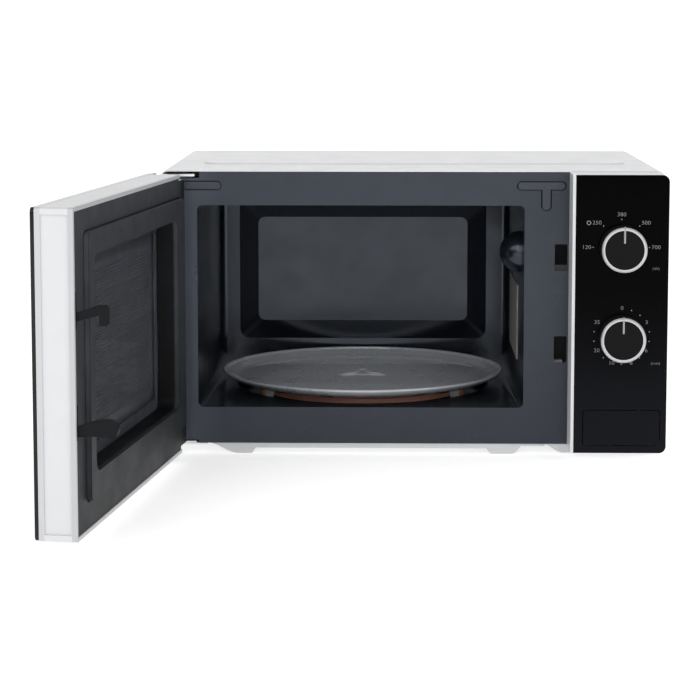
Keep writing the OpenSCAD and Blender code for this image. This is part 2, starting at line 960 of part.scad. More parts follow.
module door_key() {
    y_arm = y_frame - 13;
    color([0.15, 0.15, 0.16]) on_hinge() {
        box([key_x0, y_arm - 14, 70], [key_x1, y_arm - 2, 205]);
        side_profile(key_x0, key_x1) {
            polygon([
                [y_arm - 3, 165.5], [y_arm - 3, 175], [y_frame - 5.5, 174.5], [y_frame + 12, 180.5],
                [y_frame + 18.3, 181], [y_frame + 19.5, 180], [y_frame + 19.5, 167],
                [y_frame + 18, 165.4], [y_frame + 14, 165.4], [y_frame + 12.5, 167],
                [y_frame + 12.5, 173], [y_frame - 2, 169.2]
            ]);
            polygon([
                [y_arm - 3, 83.5], [y_arm - 3, 93], [y_frame - 5, 92.5], [y_frame + 10, 97.5],
                [y_frame + 19.5, 98], [y_frame + 19.5, 85], [y_frame + 6, 85.6]
            ]);
            translate([y_frame + 19.5, 91.5]) circle(6.5);
        }
    }
}

module key_spring() {
    x = (key_x0 + key_x1) / 2;
    y = y_frame - 21;
    color("silver") on_hinge() difference() {
        rod_z(x, y, 205, spring_top, 3.2);
        rod_z(x, y, 204, spring_top + 1, 2.2);
    }
}

outer_cabinet();
rear_panel();
base_plate();
rear_feet();
cabinet_screws();
front_frame();
oven_cavity();
waveguide_cover();
waveguide();
magnetron_yoke();
magnetron_anode();
magnetron_filter_box();
transformer_core();
transformer_windings();
capacitor();
high_voltage_diode();
fan_shroud();
fan_motor();
fan_blade();
noise_filter_board();
thermal_cutout();
lamp_holder();
oven_lamp();
lamp_cover();
turntable_motor();
turntable_coupler();
glass_tray();
roller_ring();
roller_1();
roller_2();
roller_3();
panel_housing();
panel_fascia();
power_selector();
power_knob();
power_knob_ring();
timer_unit();
timer_knob();
timer_knob_ring();
door_button();
release_lever();
lever_spring();
latch_body();
primary_switch();
monitor_switch();
secondary_switch();
cord_gland();
upper_hinge();
lower_hinge();
hinge_pins();
door_frame();
door_glass();
door_plate();
window_screen();
choke_cover();
inner_window();
door_key();
key_spring();
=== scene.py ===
import json
import math

import bmesh
import bpy
from mathutils import Matrix, Vector


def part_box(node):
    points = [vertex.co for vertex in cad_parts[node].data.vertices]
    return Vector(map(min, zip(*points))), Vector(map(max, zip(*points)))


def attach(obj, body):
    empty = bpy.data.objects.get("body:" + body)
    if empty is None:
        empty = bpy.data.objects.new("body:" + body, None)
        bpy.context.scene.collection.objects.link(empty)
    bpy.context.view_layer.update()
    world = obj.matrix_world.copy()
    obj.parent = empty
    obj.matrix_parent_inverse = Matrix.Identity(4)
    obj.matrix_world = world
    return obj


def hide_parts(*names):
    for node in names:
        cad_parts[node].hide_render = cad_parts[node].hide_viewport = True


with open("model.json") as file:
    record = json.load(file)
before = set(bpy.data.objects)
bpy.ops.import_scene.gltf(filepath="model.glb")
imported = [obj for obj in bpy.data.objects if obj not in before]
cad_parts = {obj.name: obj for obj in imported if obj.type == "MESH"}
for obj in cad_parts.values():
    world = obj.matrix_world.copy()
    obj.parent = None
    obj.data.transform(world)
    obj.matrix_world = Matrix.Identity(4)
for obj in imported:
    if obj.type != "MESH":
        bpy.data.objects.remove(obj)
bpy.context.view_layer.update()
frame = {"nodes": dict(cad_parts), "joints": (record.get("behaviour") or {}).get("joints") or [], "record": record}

MM = 0.001

nodes = frame["nodes"]
scene = bpy.context.scene

# The door's nodes come 97.5 degrees open: "opened" turns the shut door to where it rests.
joint = {j["name"]: j for j in frame["joints"]}
swing = joint["door_swing"]
hinge = Matrix.Translation(Vector(swing["pos_m"]))
opened = hinge @ Matrix.Rotation(math.radians(swing["range_deg"][0]), 4, "Z") @ hinge.inverted()


# ---------------------------------------------------------------- materials

def shader(name, colour, rough, metallic=0.0, coat=0.0, coat_rough=0.05, specular=0.5):
    """A Principled material with its even values on the shader's own sockets."""
    material = bpy.data.materials.new(name)
    material.use_nodes = True
    bsdf = material.node_tree.nodes["Principled BSDF"]
    bsdf.inputs["Base Color"].default_value = (*colour, 1.0)
    bsdf.inputs["Roughness"].default_value = rough
    bsdf.inputs["Metallic"].default_value = metallic
    bsdf.inputs["Coat Weight"].default_value = coat
    bsdf.inputs["Coat Roughness"].default_value = coat_rough
    bsdf.inputs["Specular IOR Level"].default_value = specular
    return material


def noise(material, scale, detail=3.0, stretch=(1, 1, 1)):
    """Noise over the object's own coordinates; scale is in cycles per metre."""
    tree = material.node_tree
    place = tree.nodes.new("ShaderNodeTexCoord")
    mapping = tree.nodes.new("ShaderNodeMapping")
    mapping.inputs["Scale"].default_value = stretch
    texture = tree.nodes.new("ShaderNodeTexNoise")
    texture.inputs["Scale"].default_value = scale
    texture.inputs["Detail"].default_value = detail
    tree.links.new(place.outputs["Object"], mapping.inputs["Vector"])
    tree.links.new(mapping.outputs["Vector"], texture.inputs["Vector"])
    return texture


def vary_colour(material, scale, amount, stretch):
    """Lets the base colour drift by a share of itself, lighter and darker."""
    tree = material.node_tree
    bsdf = tree.nodes["Principled BSDF"]
    base = bsdf.inputs["Base Color"].default_value[:3]
    ramp = tree.nodes.new("ShaderNodeValToRGB")
    ramp.color_ramp.elements[0].position = 0.3
    ramp.color_ramp.elements[1].position = 0.7
    ramp.color_ramp.elements[0].color = (*[c * (1 - amount) for c in base], 1)
    ramp.color_ramp.elements[1].color = (*[min(1, c * (1 + amount)) for c in base], 1)
    tree.links.new(noise(material, scale, 4, stretch).outputs["Fac"], ramp.inputs["Fac"])
    tree.links.new(ramp.outputs["Color"], bsdf.inputs["Base Color"])


def vary_roughness(material, scale, low, high, stretch):
    """Lets the roughness drift between two values."""
    tree = material.node_tree
    spread = tree.nodes.new("ShaderNodeMapRange")
    spread.inputs["From Min"].default_value = 0.3
    spread.inputs["From Max"].default_value = 0.7
    spread.inputs["To Min"].default_value = low
    spread.inputs["To Max"].default_value = high
    tree.links.new(noise(material, scale, 5, stretch).outputs["Fac"], spread.inputs["Value"])
    tree.links.new(spread.outputs["Result"], tree.nodes["Principled BSDF"].inputs["Roughness"])


def grain(material, scale, height_mm, stretch):
    """Roughens the surface with small bumps."""
    tree = material.node_tree
    bump = tree.nodes.new("ShaderNodeBump")
    bump.inputs["Strength"].default_value = 1.0
    bump.inputs["Distance"].default_value = height_mm * MM
    tree.links.new(noise(material, scale, 2, stretch).outputs["Fac"], bump.inputs["Height"])
    tree.links.new(bump.outputs["Normal"], tree.nodes["Principled BSDF"].inputs["Normal"])


# Cycles per metre of the drift in colour and in roughness.
COLOUR_SCALE = 60
GLOSS_SCALE = 35


def finished(name, colour, rough, wear=0.04, tooth=0.01, tooth_scale=1500, spread=0.05,
             stretch=(1, 1, 1), **more):
    """A material whose colour drifts by "wear" and its roughness by "spread", with a fine grain.

    The grain is "tooth" millimetres high, at "tooth_scale" cycles per metre.
    """
    material = shader(name, colour, rough, **more)
    vary_colour(material, COLOUR_SCALE, wear, stretch)
    vary_roughness(material, GLOSS_SCALE, max(0.02, rough - spread), rough + spread, stretch)
    grain(material, tooth_scale, tooth, stretch)
    return material


def glass(name, colour, rough, transmission, ior=1.5, tooth=0.002, **more):
    """A material that lets light through."""
    material = finished(name, colour, rough, 0.02, tooth, 400, spread=rough * 0.2, **more)
    bsdf = material.node_tree.nodes["Principled BSDF"]
    bsdf.inputs["Transmission Weight"].default_value = transmission
    bsdf.inputs["IOR"].default_value = ior
    return material


GLOSS_WHITE = (0.61, 0.615, 0.63)
RING_SILVER = (0.50, 0.505, 0.515)
# The panel's colour at its foot holds a painted reflection; at its head it is the plain black.
PANEL_FOOT_REFLECTION = (0.0085, 0.009, 0.0115)
PANEL_HEAD = (0.0005, 0.0005, 0.0007)
BLUISH = (0.80, 0.88, 1.0, 1.0)


def gloss_white(name):
    return finished(name, GLOSS_WHITE, 0.32, 0.012, 0.0008, 900, spread=0.015)


def ring_silver(name):
    return finished(name, RING_SILVER, 0.42, 0.02, 0.003, 2000, metallic=0.5)


# One material for each slot of the record.
LOOKS = {
    "white_enamel": finished("white_powder_coat", (0.68, 0.685, 0.70), 0.36, 0.012, 0.012, 2200),
    "zinc_sheet": finished("zinc_sheet", (0.50, 0.51, 0.52), 0.42, 0.10, 0.01, 700, metallic=0.6),
    "white_plastic": gloss_white("white_gloss"),
    "black_plastic": finished("black_gloss", (0.0012, 0.0012, 0.0014), 0.16, 0.10, 0.002, 500,
                              specular=0.03),
    "dark_plastic": finished("dark_textured", (0.026, 0.027, 0.031), 0.5, 0.12, 0.05, 2600,
                             specular=0.25),
    "grey_enamel": finished("grey_enamel", (0.0665, 0.074, 0.093), 0.24, 0.04, 0.004, 700,
                            specular=0.28),
    "cavity_enamel": finished("cavity_enamel", (0.009, 0.011, 0.0155), 0.19, 0.05, 0.002, 400,
                              specular=0.62),
    "mica": finished("mica_sheet", (0.30, 0.295, 0.28), 0.5, 0.25, 0.02, 500, stretch=(1, 3, 1)),
    "bright_steel": finished("zinc_steel", (0.66, 0.66, 0.67), 0.3, 0.06, 0.006, 900,
                             stretch=(1, 1, 8), metallic=1.0),
    "copper": finished("copper", (0.70, 0.30, 0.16), 0.32, 0.12, 0.02, 900, metallic=1.0),
    "laminated_iron": finished("laminations", (0.12, 0.12, 0.125), 0.45, 0.3, 0.05, 600,
                               stretch=(1, 6, 1), metallic=0.8),
    "can_aluminium": finished("drawn_aluminium", (0.72, 0.72, 0.73), 0.3, 0.05, 0.006, 800,
                              stretch=(1, 1, 8), metallic=1.0),
    "natural_plastic": finished("natural_nylon", (0.62, 0.60, 0.54), 0.5, 0.05, 0.02, 1200),
    "switch_red": finished("red_phenolic", (0.36, 0.035, 0.025), 0.42, 0.1, 0.02, 1200),
    "board_green": finished("circuit_board", (0.02, 0.11, 0.04), 0.4, 0.25, 0.03, 900),
    "tray_glass": glass("tray_glass", (0.44, 0.455, 0.48), 0.3, 0.12, tooth=0.0002, coat=1.0,
                        coat_rough=0.04),
    "bulb_glass": glass("bulb_glass", (0.95, 0.93, 0.88), 0.1, 0.9),
    "ring_plastic": finished("ring_brown", (0.56, 0.27, 0.19), 0.42, 0.1, 0.02, 1300),
    "roller_white": finished("roller_white", (0.78, 0.78, 0.77), 0.4, 0.03, 0.01, 1300),
    "knob_black": finished("dial_black", (0.003, 0.003, 0.0036), 0.4, 0.1, 0.006, 1500,
                           specular=0.1),
    "knob_silver": ring_silver("dial_silver"),
    "door_black_glass": finished("black_glass", (0.002, 0.002, 0.0026), 0.05, 0.1, 0.001, 300,
                                 spread=0.02, specular=0.3),
    "window_film": glass("window_film", (0.85, 0.86, 0.88), 0.03, 1.0, 1.03, 0.0),
    "screen_metal": finished("screen_grey", (0.085, 0.088, 0.097), 0.5, 0.1, 0.01, 1500,
                             specular=0.2),
    "rubber_foot": finished("rubber", (0.03, 0.03, 0.03), 0.7, 0.15, 0.03, 1500),
}
PRINT = finished("white_print", (0.22, 0.22, 0.23), 0.5, 0.03, 0.002, 2000)
POINTER = finished("pointer_grey", (0.30, 0.30, 0.31), 0.4, 0.03, 0.004, 1300)


def paint_light_by_height(material, low_z, high_z, low_colour, high_colour, uneven=0.06):
    """Paints light on an upright face: its colour changes smoothly from its foot to its head."""
    tree = material.node_tree
    place = tree.nodes.new("ShaderNodeTexCoord")
    split = tree.nodes.new("ShaderNodeSeparateXYZ")
    height = tree.nodes.new("ShaderNodeMapRange")
    height.interpolation_type = "SMOOTHSTEP"
    height.inputs["From Min"].default_value = low_z
    height.inputs["From Max"].default_value = high_z
    stir = tree.nodes.new("ShaderNodeMath")
    stir.operation = "MULTIPLY_ADD"
    stir.inputs[1].default_value = uneven
    ramp = tree.nodes.new("ShaderNodeValToRGB")
    ramp.color_ramp.elements[0].color = (*low_colour, 1)
    ramp.color_ramp.elements[1].color = (*high_colour, 1)
    tree.links.new(place.outputs["Object"], split.inputs["Vector"])
    tree.links.new(split.outputs["Z"], height.inputs["Value"])
    tree.links.new(noise(material, 60).outputs["Fac"], stir.inputs[0])
    tree.links.new(height.outputs["Result"], stir.inputs[2])
    tree.links.new(stir.outputs["Value"], ramp.inputs["Fac"])
    tree.links.new(ramp.outputs["Color"], tree.nodes["Principled BSDF"].inputs["Base Color"])


# Painted reflection: the panel's black is a little lighter at its foot, where it would mirror the floor.
paint_light_by_height(LOOKS["black_plastic"], 0.0, 0.17, PANEL_FOOT_REFLECTION, PANEL_HEAD)
for name in ("grey_enamel", "cavity_enamel"):
    bsdf = LOOKS[name].node_tree.nodes["Principled BSDF"]
    bsdf.inputs["Specular Tint"].default_value = BLUISH


WIDTH = (1, 0, 0)
DEPTH = (0, 1, 0)
HEIGHT = (0, 0, 1)


def shade(material, direction, stops):
    """Multiplies a material's colour by greys along a direction, at places in millimetres."""
    tree = material.node_tree
    base = tree.nodes["Principled BSDF"].inputs["Base Color"]
    start = stops[0][0] - 1
    end = stops[-1][0] + 1
    place = tree.nodes.new("ShaderNodeTexCoord")
    measure = tree.nodes.new("ShaderNodeVectorMath")
    measure.operation = "DOT_PRODUCT"
    measure.inputs[1].default_value = direction
    spread = tree.nodes.new("ShaderNodeMapRange")
    spread.inputs["From Min"].default_value = start * MM
    spread.inputs["From Max"].default_value = end * MM
    ramp = tree.nodes.new("ShaderNodeValToRGB")
    elements = ramp.color_ramp.elements
    for at, grey in stops:
        element = elements.new((at - start) / (end - start))
        element.color = (grey, grey, grey, 1)
    elements.remove(elements[0])
    elements.remove(elements[-1])
    product = tree.nodes.new("ShaderNodeMix")
    product.data_type = "RGBA"
    product.blend_type = "MULTIPLY"
    product.inputs["Factor"].default_value = 1.0
    tree.links.new(place.outputs["Object"], measure.inputs[0])
    tree.links.new(measure.outputs["Value"], spread.inputs["Value"])
    tree.links.new(spread.outputs["Result"], ramp.inputs["Fac"])
    tree.links.new(base.links[0].from_socket, product.inputs["A"])
    tree.links.new(ramp.outputs["Color"], product.inputs["B"])
    tree.links.new(product.outputs["Result"], base)


def shade_on_door(material, direction, stops):
    """The same along a direction of the shut door, which is turned with the open door."""
    turned = opened.to_3x3() @ Vector(direction)
    moved = (turned - Vector(direction)).dot(hinge.translation) / MM
    shade(material, turned, [(at + moved, grey) for at, grey in stops])


# Nodes that look a little different from the rest of their slot.
OWN_LOOK = {
    # Painted shade: the base plate's white is darker than the cabinet's white.
    "base_plate": finished("white_base_sheet_painted_shade", (0.53, 0.535, 0.545), 0.4, 0.03, 0.012, 2200),
    "door_key": finished("hook_black", (0.0045, 0.005, 0.0065), 0.42, 0.1, 0.01, 1800,
                         specular=0.14),
    "choke_cover": finished("door_cover_grey", (0.058, 0.062, 0.071), 0.5, 0.12, 0.05, 2600,
                            specular=0.18),
    "door_frame": gloss_white("white_door_frame"),
    "power_knob_ring": ring_silver("power_ring_silver"),
    "timer_knob_ring": ring_silver("timer_ring_silver"),
}
# Shading that the photo shows and that the lights here don't give is painted on. The door's inner
# cover is blacker in its recess, in its groove, towards the hinge and at its foot.
COVER_SHADES = {
    DEPTH: [(-165.5, 0.10), (-153.0, 0.14), (-151.0, 0.2), (-150.75, 0.55), (-150.4, 0.55),
            (-150.1, 1.0), (-147.4, 1.0), (-147.0, 0.55)],
    WIDTH: [(-219.0, 0.1), (-209.0, 0.25), (-200.0, 1.0)],
    HEIGHT: [(10.0, 0.35), (60.0, 0.6), (150.0, 1.0)],
}
# Painted on the same way, the raised lips along the door's edge, and its top, are a little darker
# than the strip between.
DOOR_SHADES = {
    DEPTH: [(-178.0, 0.84), (-173.9, 0.84), (-173.6, 1.0), (-153.6, 1.0), (-153.3, 0.76),
            (-149.5, 0.76)],
    HEIGHT: [(240.0, 1.0), (249.3, 1.0), (249.8, 0.84)],
}
# Painted on the same way, the front frame is lighter beside the hinge and darker at its foot.
FRAME_SHADES = {
    WIDTH: [(-215.0, 1.0), (-192.0, 0.86), (-165.0, 0.54)],
    HEIGHT: [(15.0, 0.72), (60.0, 0.82), (150.0, 1.0)],
}
for direction, stops in COVER_SHADES.items():
    shade_on_door(OWN_LOOK["choke_cover"], direction, stops)
for direction, stops in DOOR_SHADES.items():
    shade_on_door(OWN_LOOK["door_frame"], direction, stops)
for direction, stops in FRAME_SHADES.items():
    shade(LOOKS["grey_enamel"], direction, stops)
# Painted on the same way, a dial's ring is bright in front and nearly black at its side.
for ring in ("power_knob_ring", "timer_knob_ring"):
    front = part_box(ring)[0].y / MM
    stops = [(front, 1.0), (front + 0.9, 1.0), (front + 1.4, 0.03), (front + 9, 0.03)]
    shade(OWN_LOOK[ring], DEPTH, stops)
slot_of = {part["node"]: part["material_slot"] for part in frame["record"]["subparts"]}


# ---------------------------------------------------------------- CAD nodes

# Edge radius in millimetres on each carried-over node; the rest get the default.
EDGE = {
    "outer_cabinet": 0.5, "front_frame": 0.45, "oven_cavity": 0.45, "panel_housing": 0.7,
    "panel_fascia": 0.5, "door_frame": 0.8, "door_glass": 0.6, "choke_cover": 1.1,
    "door_button": 0.8, "door_key": 0.7, "base_plate": 0.3, "rear_feet": 0.8,
    "latch_body": 0.6, "roller_1": 0.8, "roller_2": 0.8, "roller_3": 0.8, "roller_ring": 0.6,
    "turntable_coupler": 0.8, "transformer_windings": 3.0, "capacitor": 1.0,
}
DEFAULT_EDGE = 0.3
PLAIN = {"window_screen", "glass_tray", "power_knob", "timer_knob"}


def smooth_by_angle(mesh, degrees):
    mesh.polygons.foreach_set("use_smooth", [True] * len(mesh.polygons))
    mesh.set_sharp_from_angle(angle=math.radians(degrees))


def soften(obj, width_mm):
    """Rounds a node's edges with modifiers, which leave its own mesh as it is."""
    flat = obj.modifiers.new("merge_flats", "DECIMATE")
    flat.decimate_type = "DISSOLVE"
    flat.angle_limit = math.radians(0.6)
    bevel = obj.modifiers.new("edge_radius", "BEVEL")
    bevel.width = width_mm * MM
    bevel.segments = 3
    bevel.limit_method = "ANGLE"
    bevel.angle_limit = math.radians(40)
    bevel.harden_normals = True


def paint(obj, material):
    obj.data.materials.clear()
    obj.data.materials.append(material)


for name, obj in nodes.items():
    if name in PLAIN:
        continue
    paint(obj, OWN_LOOK.get(name) or LOOKS[slot_of[name]])
    smooth_by_angle(obj.data, 30)
    soften(obj, EDGE.get(name, DEFAULT_EDGE))


# ---------------------------------------------------------------- new pieces

def piece(name, bm, body, slot, material=None, stands_for=(), angle=30):
    """Makes an object of a finished bmesh on a body, in the given material or else its slot's, in place of the
    nodes named.
    """
    mesh = bpy.data.meshes.new(name)
    bm.normal_update()
    bm.to_mesh(mesh)
    bm.free()
    obj = bpy.data.objects.new(name, mesh)
    scene.collection.objects.link(obj)
    paint(obj, material or LOOKS[slot])
    smooth_by_angle(mesh, angle)
    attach(obj, body)
    if stands_for:
        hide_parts(*stands_for)
    return obj


def shut_box(name):
    """Lowest and highest corner of a door node with the door turned shut."""
    back = opened.inverted()
    points = [back @ v.co for v in nodes[name].data.vertices]
    low = Vector([min(p[i] for p in points) for i in range(3)])
    high = Vector([max(p[i] for p in points) for i in range(3)])
    return low, high


def perforated_screen():
    """The window's metal screen: a thin sheet with rows of small round holes.

    Each hole is a ring of points in a square cell, joined to the cell's four corners.
    """
    low, high = shut_box("window_screen")
    pitch = 2.5 * MM
    hole = 0.85 * MM
    sides = 8
    margin = 14 * MM
    thickness = 0.5 * MM
    columns = int((high.x - low.x - 2 * margin) / pitch)
    rows = int((high.z - low.z - 2 * margin) / pitch)
    x0 = (low.x + high.x - columns * pitch) / 2
    z0 = (low.z + high.z - rows * pitch) / 2
    bm = bmesh.new()
    corner = {}

    def grid_point(i, k):
        if (i, k) not in corner:
            corner[i, k] = bm.verts.new((x0 + i * pitch, low.y, z0 + k * pitch))
        return corner[i, k]

    ring_angle = [2 * math.pi * (s + 0.5) / sides for s in range(sides)]
    for i in range(columns):
        for k in range(rows):
            cx = x0 + (i + 0.5) * pitch
            cz = z0 + (k + 0.5) * pitch
            hole_ring = [bm.verts.new((cx + hole * math.cos(a), low.y, cz + hole * math.sin(a)))
                         for a in ring_angle]
            ring = hole_ring[-1:] + hole_ring[:-1]
            cell = [(i + 1, k), (i + 1, k + 1), (i, k + 1), (i, k)]
            c = [grid_point(*at) for at in cell]
            for q in range(4):
                a, b, d = ring[2 * q], ring[2 * q + 1], ring[(2 * q + 2) % sides]
                bm.faces.new((a, c[q], b))
                bm.faces.new((b, c[q], c[(q + 1) % 4], d))
    rim = [Vector((low.x, low.y, low.z)), Vector((high.x, low.y, low.z)),
           Vector((high.x, low.y, high.z)), Vector((low.x, low.y, high.z))]
    outer = [bm.verts.new(p) for p in rim]
    sides_of_grid = [
        [grid_point(i, 0) for i in range(columns + 1)],
        [grid_point(columns, k) for k in range(rows + 1)],
        [grid_point(i, rows) for i in range(columns, -1, -1)],
        [grid_point(0, k) for k in range(rows, -1, -1)],
    ]
    for q in range(4):
        bm.faces.new([outer[q], outer[(q + 1) % 4]] + sides_of_grid[q][::-1])
    bmesh.ops.recalc_face_normals(bm, faces=bm.faces)
    bmesh.ops.transform(bm, matrix=opened, verts=bm.verts)
    screen = piece("perforated_screen", bm, "door", "screen_metal", stands_for=("window_screen",))
    sheet = screen.modifiers.new("sheet", "SOLIDIFY")
    sheet.thickness = thickness
    sheet.offset = 0


def lathe_profile(bm, points, centre, axis, steps):
    """Spins (radius, height) points about an axis through centre; a zero radius closes the end."""
    axis = Vector(axis).normalized()
    side = axis.orthogonal().normalized()
    other = axis.cross(side)
    rings = []
    for radius, height in points:
        base = Vector(centre) + axis * height
        if radius == 0:
            rings.append([bm.verts.new(base)])
            continue
        rings.append([
            bm.verts.new(base + radius * (math.cos(t) * side + math.sin(t) * other))
            for t in (2 * math.pi * s / steps for s in range(steps))
        ])
    for a, b in zip(rings, rings[1:]):
        for s in range(steps):
            n = (s + 1) % steps
            if len(a) == 1:
                bm.faces.new((a[0], b[s], b[n]))
            elif len(b) == 1:
                bm.faces.new((a[s], b[0], a[n]))
            else:
                bm.faces.new((a[s], b[s], b[n], a[n]))
    bmesh.ops.recalc_face_normals(bm, faces=bm.faces)


def arc(cx, cy, r, start, end, count):
    """Points along an arc, angles in degrees."""
    return [(cx + r * math.cos(math.radians(start + (end - start) * i / count)),
             cy + r * math.sin(math.radians(start + (end - start) * i / count)))
            for i in range(count + 1)]


def glass_tray():
    """The pressed glass tray: a flat floor, a shallow sloping rim and a three-armed boss mark."""
    low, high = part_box("glass_tray")
    spin = joint["turntable_spin"]["pos_m"]
    rim = (high.x - low.x) / 2
    top = 10 * MM
    floor_top = 4 * MM
    floor_r = rim - 19 * MM
    lip = 1.4 * MM
    base = Vector((spin[0], spin[1], high.z - top))
    under = [(rim - 16 * MM, 0), (rim - 4 * MM, 4.6 * MM)]
    edge = arc(rim - lip, top - lip, lip, -50, 120, 8)
    # A small step inside the rim, then the slope down to the floor: millimetres in from the rim
    # and up from the base.
    step_and_slope = [(2.9, 9.75), (3.25, 9.55), (3.4, 9.2), (3.45, 8.3), (3.7, 7.9), (4.3, 7.6),
                      (7.5, 6.7), (10, 5.8), (13, 4.7), (16, 4.1)]
    inner = [(rim - inward * MM, up * MM) for inward, up in step_and_slope]
    flat_rings = 80
    floor = [(floor_r * (1 - i / flat_rings), floor_top) for i in range(flat_rings + 1)]
    bm = bmesh.new()
    lathe_profile(bm, [(0, 0)] + under + edge + inner + floor, base, HEIGHT, 240)
    mark_rise = 1.1 * MM
    mark_width = 1.9 * MM
    mark_core = 9 * MM
    mark_arm = 13 * MM
    mark_end = 34 * MM
    for v in bm.verts:
        offset = v.co - base
        r = math.hypot(offset.x, offset.y)
        if offset.z < 3.9 * MM or r > mark_end:
            continue
        angle = math.atan2(offset.y, offset.x)
        arms = max(0.0, math.cos(3 * (angle - math.pi / 2)))
        reach = mark_core + mark_arm * arms ** 2
        v.co.z += mark_rise * math.exp(-((r - reach) / mark_width) ** 2)
    piece("pressed_glass_tray", bm, "glass_tray", "tray_glass", stands_for=("glass_tray",), angle=60)


def dial(which, body):
    """A dial: a flat black cap on its shaft, inside the silver ring, and a pale pointer."""
    low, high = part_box(f"{which}_knob_ring")
    centre = Vector(((low.x + high.x) / 2, low.y, (low.z + high.z) / 2))
    outer = (high.x - low.x) / 2
    inset = 3.25 * MM
    r = outer - inset
    depth = high.y - low.y
    sunk = 1.2 * MM
    dome = 0.35 * MM
    shaft = 3 * MM
    shaft_end = depth + 17 * MM
    profile = [(0, sunk)] + [(r * f, sunk - dome * f * f) for f in (0.3, 0.6, 0.85)]
    profile += [(r - 0.4 * MM, 0.8 * MM), (r, 1.1 * MM), (r, depth), (shaft, depth),
                (shaft, shaft_end), (0, shaft_end)]
    bm = bmesh.new()
    lathe_profile(bm, profile, centre, DEPTH, 96)
    piece(f"{which}_dial_cap", bm, body, "knob_black", stands_for=(f"{which}_knob",))
    inner_end = 5.7 * MM
    line_width = 1.6 * MM
    line_depth = 1.0 * MM
    line = (line_width, line_depth, outer - inner_end)
    middle = centre + Vector((0, 0.45 * MM, (outer + inner_end) / 2))
    bm = bmesh.new()
    place = Matrix.Translation(middle) @ Matrix.Diagonal((*line, 1))
    bmesh.ops.create_cube(bm, size=1, matrix=place)
    bmesh.ops.bevel(bm, geom=list(bm.edges), offset=0.3 * MM, segments=3, affect="EDGES")
    piece(f"{which}_dial_pointer", bm, body, "roller_white", POINTER)


# The print: how far it stands off the panel, how thick a dot is, half the thickness of a figure,
# how much thinner each side of a stroke is, and how much wider a figure is than the plain font's.
PRINT_GAP = 0.03 * MM
DOT_THICK = 0.06 * MM
FIGURE_HALF_THICK = 0.02 * MM
STROKE_TRIM = 0.06 * MM
WIDER = 1.12


def add_figure(bm, text, x, z, y, height):
    """Adds a printed figure as thin solid letters, wider than the plain font."""
    curve = bpy.data.curves.new("figure", "FONT")
    curve.body = text
    curve.size = height
    curve.align_x = "CENTER"
    curve.align_y = "CENTER"
    curve.extrude = FIGURE_HALF_THICK
    curve.resolution_u = 3
    curve.offset = -STROKE_TRIM
    obj = bpy.data.objects.new("figure", curve)
    scene.collection.objects.link(obj)
    bpy.context.view_layer.update()
    depsgraph = bpy.context.evaluated_depsgraph_get()
    mesh = bpy.data.meshes.new_from_object(obj.evaluated_get(depsgraph))
    mesh.transform(Matrix.Translation((x, y, z)) @ Matrix.Rotation(math.pi / 2, 4, "X")
                   @ Matrix.Diagonal((WIDER, 1, 1, 1)))
    bm.from_mesh(mesh)
    bpy.data.objects.remove(obj)
    bpy.data.meshes.remove(mesh)


def add_dot(bm, x, z, y, r):
    profile = [(0, 0), (r, 0), (r, DOT_THICK), (0, DOT_THICK)]
    lathe_profile(bm, profile, (x, y, z), (0, -1, 0), 16)


def add_ring(bm, x, z, y, inner, outer):
    profile = [(inner, 0), (outer, 0), (outer, DOT_THICK), (inner, DOT_THICK), (inner, 0)]
    lathe_profile(bm, profile, (x, y, z), (0, -1, 0), 24)


# Marks round the power dial: degrees clockwise from the top of the dot and of the figure, and the
# figure's distance from the middle in millimetres.
POWER_MARKS = [(-90, -90, 29.8, "120"), (-40, -44.8, 29.8, "250"), (0, 0, 28.2, "380"),
               (40, 44.8, 29.8, "500"), (90, 90, 29.8, "700")]
# Marks round the timer dial: degrees clockwise from the top, and the figure, or none for a dot.
TIMER_MARKS = [(0, "0"), (20, ""), (40, ""), (60, "3"), (80, ""), (100, ""), (120, "6"),
               (140, ""), (160, "8"), (180, ""), (200, "10"), (220, ""), (240, "20"),
               (260, ""), (280, ""), (300, "35")]


# Beads pressed in the front frame: bars as x0, z0, x1, z1 in millimetres, with round ends.
BEADS = {
    "hinge_bead": [(-200.3, 234.7, -167.6, 240.9)],
    "latch_bead": [(92.6, 234.7, 133.7, 240.9), (113.8, 217.0, 120.9, 240.0)],
}


